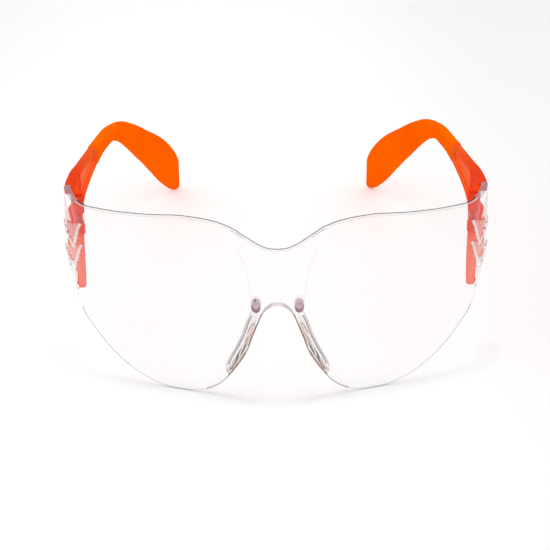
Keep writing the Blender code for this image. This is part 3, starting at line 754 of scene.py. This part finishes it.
def sleeve_material(name):
    """Opaque satin elastomer with a fine moulded grain."""
    m, nt, out = fresh(name)
    p = nt.nodes.new("ShaderNodeBsdfPrincipled")
    co = nt.nodes.new("ShaderNodeTexCoord")
    big = node(nt, "ShaderNodeTexNoise", Scale=55.0, Detail=3.0, Roughness=0.5)
    fine = node(nt, "ShaderNodeTexNoise", Scale=2600.0, Detail=2.0, Roughness=0.6)
    for n in (big, fine):
        nt.links.new(co.outputs["Object"], n.inputs["Vector"])
    ramp = nt.nodes.new("ShaderNodeValToRGB")
    ramp.color_ramp.elements[0].position, ramp.color_ramp.elements[1].position = 0.3, 0.7
    ramp.color_ramp.elements[0].color = (0.97, 0.112, 0.0, 1)
    ramp.color_ramp.elements[1].color = (1.0, 0.138, 0.0, 1)
    nt.links.new(big.outputs["Fac"], ramp.inputs["Fac"])
    nt.links.new(ramp.outputs["Color"], p.inputs["Base Color"])
    rr = nt.nodes.new("ShaderNodeMapRange")
    rr.inputs["To Min"].default_value, rr.inputs["To Max"].default_value = 0.46, 0.62
    nt.links.new(big.outputs["Fac"], rr.inputs["Value"])
    nt.links.new(rr.outputs["Result"], p.inputs["Roughness"])
    p.inputs["Specular IOR Level"].default_value = 0.0
    p.inputs["IOR"].default_value = 1.3
    nt.links.new(bump_of(nt, fine.outputs["Fac"], 0.25, 0.00006), p.inputs["Normal"])
    nt.links.new(p.outputs["BSDF"], out.inputs["Surface"])
    return m


LENS_MAT = sheet_material("lens_clear_look", (0.994, 0.994, 0.995), gloss=(0.04, 0.34), scale=45.0)
# painted light: the pale milky share on the rim flat stands in for light carried along the clear edge
FACE_MAT = sheet_material("lens_rim_painted_light_look", (0.93, 0.925, 0.93), 0.34, (0.97, 0.95, 0.955), rough=(0.03, 0.10))
# painted shade: the near-black tint draws the dark refraction lines along the far top edge and near bottom edge of
# the clear lens
DARK_MAT = sheet_material("lens_edge_painted_shade_look", (0.20, 0.20, 0.21), 0.10, (0.35, 0.34, 0.36), gloss=(0.02, 0.12))
# painted shade: grey for the lens end band and the parts of the top edge that face away and reflect darker
# surroundings
GREY_MAT = sheet_material("lens_end_painted_shade_look", (0.78, 0.78, 0.79), 0.34, (0.50, 0.50, 0.51), gloss=(0.03, 0.3))
# painted shade: a faint grey line on the far and lower rim faces of the clear lens
FAINT_MAT = sheet_material("lens_far_edge_painted_shade_look", (0.87, 0.87, 0.88), gloss=(0.03, 0.3))
# painted shade: faint refraction lines along the bridge zone outline and the lower rim near the lens ends
LINE_MAT = sheet_material("lens_painted_line_look", (0.93, 0.93, 0.935), gloss=(0.04, 0.6))
# painted refraction glints: dark, grey and orange-red bands on the nose cutout edge stand in for the temple and
# surroundings seen through the thick clear edge
CUT_MAT = sheet_material("lens_cutout_painted_glint_look", (0.5, 0.5, 0.5), 0.08, (0.4, 0.3, 0.28), gloss=(0.02, 0.15),
                         painted_glints=((0.0, (0.10, 0.10, 0.09)), (0.40, (0.45, 0.43, 0.36)),
                                  (0.53, (0.70, 0.07, 0.04)), (0.60, (0.16, 0.16, 0.13)),
                                  (1.0, (0.9, 0.9, 0.88))))
# the chevron crests get a strong white milky share, and the wedges between their arms a lighter one
RIB_MAT = sheet_material("lens_rib_white_look", (0.98, 0.98, 0.98), 0.74, (1.0, 0.985, 0.98), rough=(0.2, 0.35),
                         wave=0.2, scale=240.0)
# painted shade: the pinkish grey of the rib flanks stands in for their dark refraction outlines, with the orange
# temple showing through
FLANK_MAT = sheet_material("lens_flank_painted_shade_look", (0.62, 0.46, 0.45), 0.1, (0.6, 0.45, 0.42), gloss=(0.03, 0.2))
VEE_MAT = sheet_material("lens_vee_pale_look", (0.98, 0.98, 0.98), 0.24, (1.0, 0.96, 0.95), rough=(0.1, 0.2))
# painted highlight: a white milky patch on the outer side of the lens end
HIGHLIGHT_PATCH_MAT = sheet_material("lens_painted_highlight_look", (0.98, 0.97, 0.98), 0.66, (1.0, 0.965, 0.965), rough=(0.1, 0.2))
# painted refraction glints: dark, white and orange-red bands on the blade's front strip stand in for surroundings
# and the temple seen through the thick pad
BLADE_MAT = sheet_material("pad_painted_glint_look", (0.9, 0.9, 0.9), 0.05, (0.6, 0.55, 0.55), gloss=(0.03, 0.3),
                           painted_glints=((0.0, (0.04, 0.04, 0.04)), (0.34, (0.10, 0.10, 0.09)),
                                    (0.42, (0.90, 0.89, 0.87)), (0.52, (0.98, 0.97, 0.96)),
                                    (0.57, (0.40, 0.38, 0.26)), (0.62, (0.96, 0.95, 0.92)),
                                    (0.76, (0.92, 0.90, 0.86)), (0.82, (0.62, 0.06, 0.03)),
                                    (1.0, (0.70, 0.10, 0.05))),
                           glint_scale=(1700.0, 300.0, 110.0))
# the arch over the nose: a real mauve tint, painted darker towards its ends as shade and lighter in its middle as
# light
ARCH_MAT = sheet_material("lens_arch_tint_and_shade_look", (0.60, 0.53, 0.58), 0.15, (0.58, 0.47, 0.53), rough=(0.03, 0.1))
ARCH_MID_MAT = sheet_material("lens_arch_mid_tint_and_light_look", (0.76, 0.72, 0.745), 0.15, (0.78, 0.72, 0.75), rough=(0.03, 0.1))
PAD_MAT = sheet_material("pad_look", (0.985, 0.98, 0.98), 0.08, (1.0, 0.97, 0.98), gloss=(0.05, 0.5),
                         rough=(0.06, 0.14), wave=0.1, scale=300.0)
# painted shade: dark grey for the refracting outer and free edges of the clear pad blade
PAD_LINE_MAT = sheet_material("pad_edge_painted_shade_look", (0.30, 0.28, 0.28), 0.12, (0.3, 0.27, 0.28), gloss=(0.03, 0.25),
                              rough=(0.06, 0.14))
# the stud's mauve is partly its own tint and partly painted shade of its refracting end
STUD_MAT = sheet_material("pad_stud_tint_and_shade_look", (0.64, 0.48, 0.56), 0.30, (0.48, 0.31, 0.39), gloss=(0.06, 0.6),
                          rough=(0.04, 0.1), wave=0.1, scale=300.0)
TEMPLE_MAT = temple_material("temple_look", (0.98, 0.11, 0.003), 0.36, (0.99, 0.95, 0.93), (1.0, 0.078, 0.0),
                             gloss=(0.022, 0.03))
GROOVE_MAT = temple_material("temple_groove_look", (0.95, 0.16, 0.05), 0.40, (0.99, 0.93, 0.90),
                             (1.0, 0.25, 0.10), gloss=(0.03, 0.12))
SLEEVE_MAT = sleeve_material("sleeve_look")
PIN_MAT = temple_material("pin_look", (0.85, 0.04, 0.002), 0.35, (0.95, 0.8, 0.75))


def paint(ob, *mats):
    ob.data.materials.clear()
    for m in mats:
        ob.data.materials.append(m)


# ================================================================== assembly
lens = build_lens()
lens.name = "lens_piece"
paint(lens, LENS_MAT, FACE_MAT, DARK_MAT, FAINT_MAT, RIB_MAT, FLANK_MAT, VEE_MAT, ARCH_MAT, GREY_MAT,
      LINE_MAT, CUT_MAT, HIGHLIGHT_PATCH_MAT, ARCH_MID_MAT)
CLEAR, FACE, DARK, FAINT, RIB, FLANK, VEE, ARCH, GREY, LINE, CUT, PANEL, ARCH_MID = range(13)


def face_data(ob):
    me = ob.data
    n = len(me.polygons)
    cen, nor = np.empty(n * 3), np.empty(n * 3)
    me.polygons.foreach_get("center", cen)
    me.polygons.foreach_get("normal", nor)
    return cen.reshape(-1, 3) / MM, nor.reshape(-1, 3)


def inside(q, z, a, b, c):
    """True where (q, z) lies in the triangle a b c."""
    def turn(p, r):
        return (r[0] - p[0]) * (z - p[1]) - (r[1] - p[1]) * (q - p[0])
    s0, s1, s2 = turn(a, b), turn(b, c), turn(c, a)
    return ((s0 > 0) & (s1 > 0) & (s2 > 0)) | ((s0 < 0) & (s1 < 0) & (s2 < 0))


def finish_faces(ob):
    """Gives the rim, the chevrons and the bridge outline their own looks, most of them painted shade, painted
    highlights and painted refraction lines on the clear lens.
    """
    cen, nor = face_data(ob)
    n = len(cen)
    # arc length of every face centre from its plan position
    tt = np.linspace(-LENS_END_T, LENS_END_T, 6001)
    line = lens_point(tt, np.full_like(tt, 40.0), LENS_THICK / 2)
    t = np.empty(n)
    for k in range(0, n, 4000):
        c = cen[k:k + 4000]
        t[k:k + 4000] = tt[np.argmin((line[None, :, 0] - c[:, None, 0]) ** 2
                                     + (line[None, :, 1] - c[:, None, 1]) ** 2, 1)]
    q, z = np.abs(t), cen[:, 2]
    x, y, nx, ny = plan(t)
    face = np.abs(nor[:, 0] * nx + nor[:, 1] * ny)
    p0 = lens_point(t, z)
    deep = -((cen[:, 0] - p0[:, 0]) * nx + (cen[:, 1] - p0[:, 1]) * ny)
    zb, zt = lines(t)
    top = np.abs(z - zt) < 1.3
    low = np.abs(z - zb) < 1.6
    end = q > LENS_END_T - 0.5
    cutout = (q < 17) & (z < 36.5)
    rim = (face < 0.87) & (top | low | end | cutout) & (deep > -0.3) & (deep < LENS_THICK + 0.3)
    upper = rim & (top | end)
    idx = np.full(n, CLEAR, np.int32)
    # outer face: chevrons with white crests and painted-shade flanks, paler wedges between their arms, a painted
    # highlight by the lens end, and the bridge outline as a faint painted refraction line
    skin = (deep < 0.15) & ~rim
    rise = rib_height(t, z) / RIB_RISE
    for k in (0, 2):
        a, e = CHEVRONS[k]
        b = CHEVRONS[k + 1][0]
        idx[skin & inside(q, z, a, e, b)] = VEE
    a, b, c, d = END_HIGHLIGHT_PATCH
    idx[skin & (inside(q, z, a, b, c) | inside(q, z, a, c, d))] = PANEL
    idx[skin & (rise > 0.10)] = FLANK
    idx[skin & (rise > 0.55)] = RIB
    gap = np.abs(q - pchip(BRIDGE, z))
    idx[skin & (gap < 0.2) & (z > 36.5) & (z < 52.5)] = LINE
    # rim: the far edge above and the near edge below are painted as thin dark lines of refraction shade; the grey,
    # faint and glint looks elsewhere on the rim are painted shade and refraction too
    idx[rim] = FAINT
    idx[rim & (deep > 0.42) & (deep < LENS_THICK - 0.42)] = FACE
    idx[upper & (deep > 1.22)] = DARK
    idx[upper & (q > 11.0) & (q < 15.6) & (deep < 0.45)] = GREY
    idx[rim & ~upper & (deep < np.where(q < 28, 0.9, 0.5))] = DARK
    idx[rim & ~upper & (q > 68.5)] = LINE
    idx[rim & ~upper & (q > 17) & (deep >= 1.2)] = FAINT
    idx[rim & ~upper & (q > 24) & (deep >= 0.5)] = CLEAR
    idx[rim & ~upper & (q > 5.2) & (q < 16.5) & (z < 31) & (deep > 0.42)] = CUT
    # the same painted refraction glints on a thin strip of the inner face along the cutout
    cut_q = np.interp(z, [r[1] for r in BOTTOM_LINE[10::-1]], [r[0] for r in BOTTOM_LINE[10::-1]])
    idx[~rim & (deep > LENS_THICK - 0.15) & (deep < LENS_THICK + 0.15) & (q - cut_q < 0.42) & (z > 9)
        & (z < 27)] = CUT
    idx[upper & (q > 72.0)] = GREY
    idx[rim & end & (z < zt - 1.2)] = CLEAR
    # the nose arch rim: mauve tint with painted shade at the ends and painted light in the middle
    idx[rim & cutout & (q < 4.9) & (z > 31.0)] = ARCH
    idx[rim & cutout & (q < 1.5) & (z > 31.0)] = ARCH_MID
    ob.data.polygons.foreach_set("material_index", idx)
    ob.data.update()
    return np.bincount(idx, minlength=13)


print("lens faces by finish", finish_faces(lens))
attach(lens, "front")
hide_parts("lens")


def finish_pad(ob, s):
    """The stud gets a mauve tint deepened by painted shade; the outer and free edges of the blade get painted shade,
    and its front strip painted refraction glints.
    """
    cen, nor = face_data(ob)
    x, z = cen[:, 0] * s, cen[:, 2]
    idx = np.zeros(len(cen), np.int32)
    tab = tuple(reversed(PAD))
    x0, dep = pchip(tab, z, 1), pchip(tab, z, 2)
    y0 = lens_point(x0 + PAD_THICK / 2, z, LENS_THICK)[:, 1] + GAP
    back = (cen[:, 1] - y0) / dep
    blade = z < STUD_Z - TAB_B
    off = x - x0 - PAD_FLARE * back * dep
    idx[blade & (off < PAD_THICK * 0.97) & (back < 0.30) & (z < 27.5)] = 3
    idx[blade & (off > PAD_THICK * 0.76) & (back > 0.80) & (z < 29)] = 1
    idx[blade & (off < PAD_THICK * 0.12) & (back < 0.22)] = 1
    idx[blade & (off < PAD_THICK * 0.34) & (back > 0.93) & (z < 27)] = 1
    yb = float(lens_point(STUD_X, STUD_Z, LENS_THICK)[1]) + GAP
    round_ = np.hypot((x - STUD_X) / (STUD_A + 0.06), (z - STUD_Z) / (STUD_B + 0.06)) < 1
    idx[round_ & (cen[:, 1] < yb + 0.05)] = 2
    ob.data.polygons.foreach_set("material_index", idx)
    ob.data.update()


def finish_temple(ob, s):
    """The floor of the recessed channel gets its own paler, glossier look."""
    cen, nor = face_data(ob)
    x, y, z = cen[:, 0] * s, cen[:, 1] + DEPTH_MID, cen[:, 2]
    floor_x = sheet_x(y) - pchip(ARM, y, 3) + CHANNEL_DEEP
    deep = (np.abs(x - floor_x) < 0.25) & (y > CHANNEL[0][0] - 0.3) & (y < CHANNEL[-1][0] + 0.3)
    deep &= (z > pchip(CHANNEL, y, 1) - 0.05) & (z < pchip(CHANNEL, y, 2) + 0.05) & (np.abs(nor[:, 0]) > 0.4)
    ob.data.polygons.foreach_set("material_index", deep.astype(np.int32))
    ob.data.update()
    return int(deep.sum())


for side, s, body in (("left", -1, "temple_l"), ("right", 1, "temple_r")):
    pad = build_pad(side, s)
    paint(pad, PAD_MAT, PAD_LINE_MAT, STUD_MAT, BLADE_MAT)
    finish_pad(pad, s)
    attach(pad, "front")
    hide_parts("nose_pad_" + side)
    pin = build_pin(side, s)
    paint(pin, PIN_MAT)
    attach(pin, "front")
    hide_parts("hinge_pin_" + side)
    temple = build_temple(side, s)
    paint(temple, TEMPLE_MAT, GROOVE_MAT)
    print("channel faces", finish_temple(temple, s))
    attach(temple, body)
    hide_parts("temple_" + side)
    sleeve = build_sleeve(side, s)
    paint(sleeve, SLEEVE_MAT)
    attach(sleeve, body)
    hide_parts("temple_sleeve_" + side)


# ===================================================================== stage
def floor_material():
    """Matt paper with a painted pool of light: lightest under the spectacles and a touch greyer away from them."""
    m, nt, out = fresh("floor_look")
    p = nt.nodes.new("ShaderNodeBsdfPrincipled")
    p.inputs["Roughness"].default_value = 0.9
    p.inputs["Specular IOR Level"].default_value = 0.0
    co = nt.nodes.new("ShaderNodeTexCoord")
    # painted pool of light: the spherical gradient through the ramp greys the paper towards the corners of the view
    mp = nt.nodes.new("ShaderNodeMapping")
    mp.inputs["Location"].default_value = (0.2275, -0.043, 0)
    mp.inputs["Scale"].default_value = (6.5, 1.43, 1.0)
    gr = nt.nodes.new("ShaderNodeTexGradient")
    gr.gradient_type = "SPHERICAL"
    ramp = nt.nodes.new("ShaderNodeValToRGB")
    ramp.color_ramp.interpolation = "EASE"
    ramp.color_ramp.elements[0].position, ramp.color_ramp.elements[1].position = 0.0, 0.6
    ramp.color_ramp.elements[0].color = (0.87, 0.862, 0.867, 1)
    ramp.color_ramp.elements[1].color = (0.94, 0.94, 0.94, 1)
    nt.links.new(co.outputs["Object"], mp.inputs["Vector"])
    nt.links.new(mp.outputs["Vector"], gr.inputs["Vector"])
    nt.links.new(gr.outputs["Fac"], ramp.inputs["Fac"])
    wide = nt.nodes.new("ShaderNodeMapping")
    wide.inputs["Scale"].default_value = (0.8, 0.8, 0.8)
    far = nt.nodes.new("ShaderNodeTexGradient")
    far.gradient_type = "SPHERICAL"
    fr = nt.nodes.new("ShaderNodeMapRange")
    fr.inputs["From Min"].default_value, fr.inputs["From Max"].default_value = 0.30, 0.55
    mix = nt.nodes.new("ShaderNodeMix")
    mix.data_type = "RGBA"
    mix.inputs[6].default_value = (0.97, 0.97, 0.97, 1)
    nt.links.new(co.outputs["Object"], wide.inputs["Vector"])
    nt.links.new(wide.outputs["Vector"], far.inputs["Vector"])
    nt.links.new(far.outputs["Fac"], fr.inputs["Value"])
    nt.links.new(fr.outputs["Result"], mix.inputs[0])
    nt.links.new(ramp.outputs["Color"], mix.inputs[7])
    nt.links.new(mix.outputs[2], p.inputs["Base Color"])
    n = node(nt, "ShaderNodeTexNoise", Scale=900.0, Detail=3.0)
    nt.links.new(co.outputs["Object"], n.inputs["Vector"])
    nt.links.new(bump_of(nt, n.outputs["Fac"], 0.05, 0.0001), p.inputs["Normal"])
    nt.links.new(p.outputs["BSDF"], out.inputs["Surface"])
    return m


def build_floor():
    """A round sweep: flat in the middle and curving up into a low wall."""
    prof = [(0.02, 0.0), (0.3, 0.0), (0.8, 0.0), (1.25, 0.0)]
    prof += [(1.25 + 0.5 * sin(radians(a)), 0.5 - 0.5 * cos(radians(a))) for a in range(6, 91, 6)]
    prof += [(1.75, 1.2)]
    seg = 96
    verts = [(0, 0, 0)] + [(r * cos(2 * pi * k / seg), r * sin(2 * pi * k / seg), z)
                           for (r, z) in prof for k in range(seg)]
    faces = [(0, 1 + k, 1 + (k + 1) % seg) for k in range(seg)]
    for i in range(len(prof) - 1):
        for k in range(seg):
            a, b = 1 + i * seg + k, 1 + i * seg + (k + 1) % seg
            faces.append((a, a + seg, b + seg, b))
    me = bpy.data.meshes.new("floor")
    me.from_pydata(verts, [], faces)
    me.shade_smooth()
    ob = bpy.data.objects.new("floor", me)
    bpy.context.scene.collection.objects.link(ob)
    ob.location.z = -0.00005
    me.materials.append(floor_material())
    return ob


build_floor()

world = bpy.data.worlds.new("studio")
bpy.context.scene.world = world
world.use_nodes = True
world.node_tree.nodes["Background"].inputs["Color"].default_value = (1.0, 1.0, 1.0, 1)
world.node_tree.nodes["Background"].inputs["Strength"].default_value = 0.91


def area(name, size, power, loc, target=(0, 0, 0.02), colour=(1, 1, 1)):
    li = bpy.data.lights.new(name, "AREA")
    li.shape = "SQUARE"
    li.size = size
    li.energy = power
    li.color = colour
    ob = bpy.data.objects.new(name, li)
    bpy.context.scene.collection.objects.link(ob)
    ob.location = loc
    ob.rotation_mode = "QUATERNION"
    ob.rotation_quaternion = (Vector(target) - Vector(loc)).to_track_quat("-Z", "Y")
    ob.visible_transmission = False
    return ob


def only_shadows_of(lamp, obs):
    """Keeps a lamp's shadow to thin rim lines on the floor."""
    coll = bpy.data.collections.new(lamp.name + "_shadows")
    for ob in obs:
        coll.objects.link(ob)
    lamp.light_linking.blocker_collection = coll


over = area("overhead", 0.13, 1.25, (0.0, -0.03, 0.80))
only_shadows_of(over, [lens])
area("fill", 0.8, 2.2, (0.0, -1.15, 0.55), (0, 0, 0.04))


# ==================================================================== camera
def build_camera():
    e, roll, yaw = radians(28.0), radians(-0.22), radians(0.54)
    f = Vector((sin(yaw) * cos(e), cos(yaw) * cos(e), -sin(e)))
    r = Vector((cos(yaw), -sin(yaw), 0.0))
    u = r.cross(f)
    r2 = cos(roll) * r + sin(roll) * u
    u2 = -sin(roll) * r + cos(roll) * u
    target = Vector((-0.43, 40.0 - DEPTH_MID, 24.43)) * MM
    cam = bpy.data.cameras.new("camera")
    cam.sensor_width = 36.0
    cam.lens = 117.34
    cam.clip_start, cam.clip_end = 0.01, 50.0
    ob = bpy.data.objects.new("camera", cam)
    bpy.context.scene.collection.objects.link(ob)
    m = Matrix((r2, u2, -f)).transposed().to_4x4()
    m.translation = target - 0.6 * f
    ob.matrix_world = m
    bpy.context.scene.camera = ob


build_camera()
bpy.context.scene.view_settings.view_transform = "Standard"
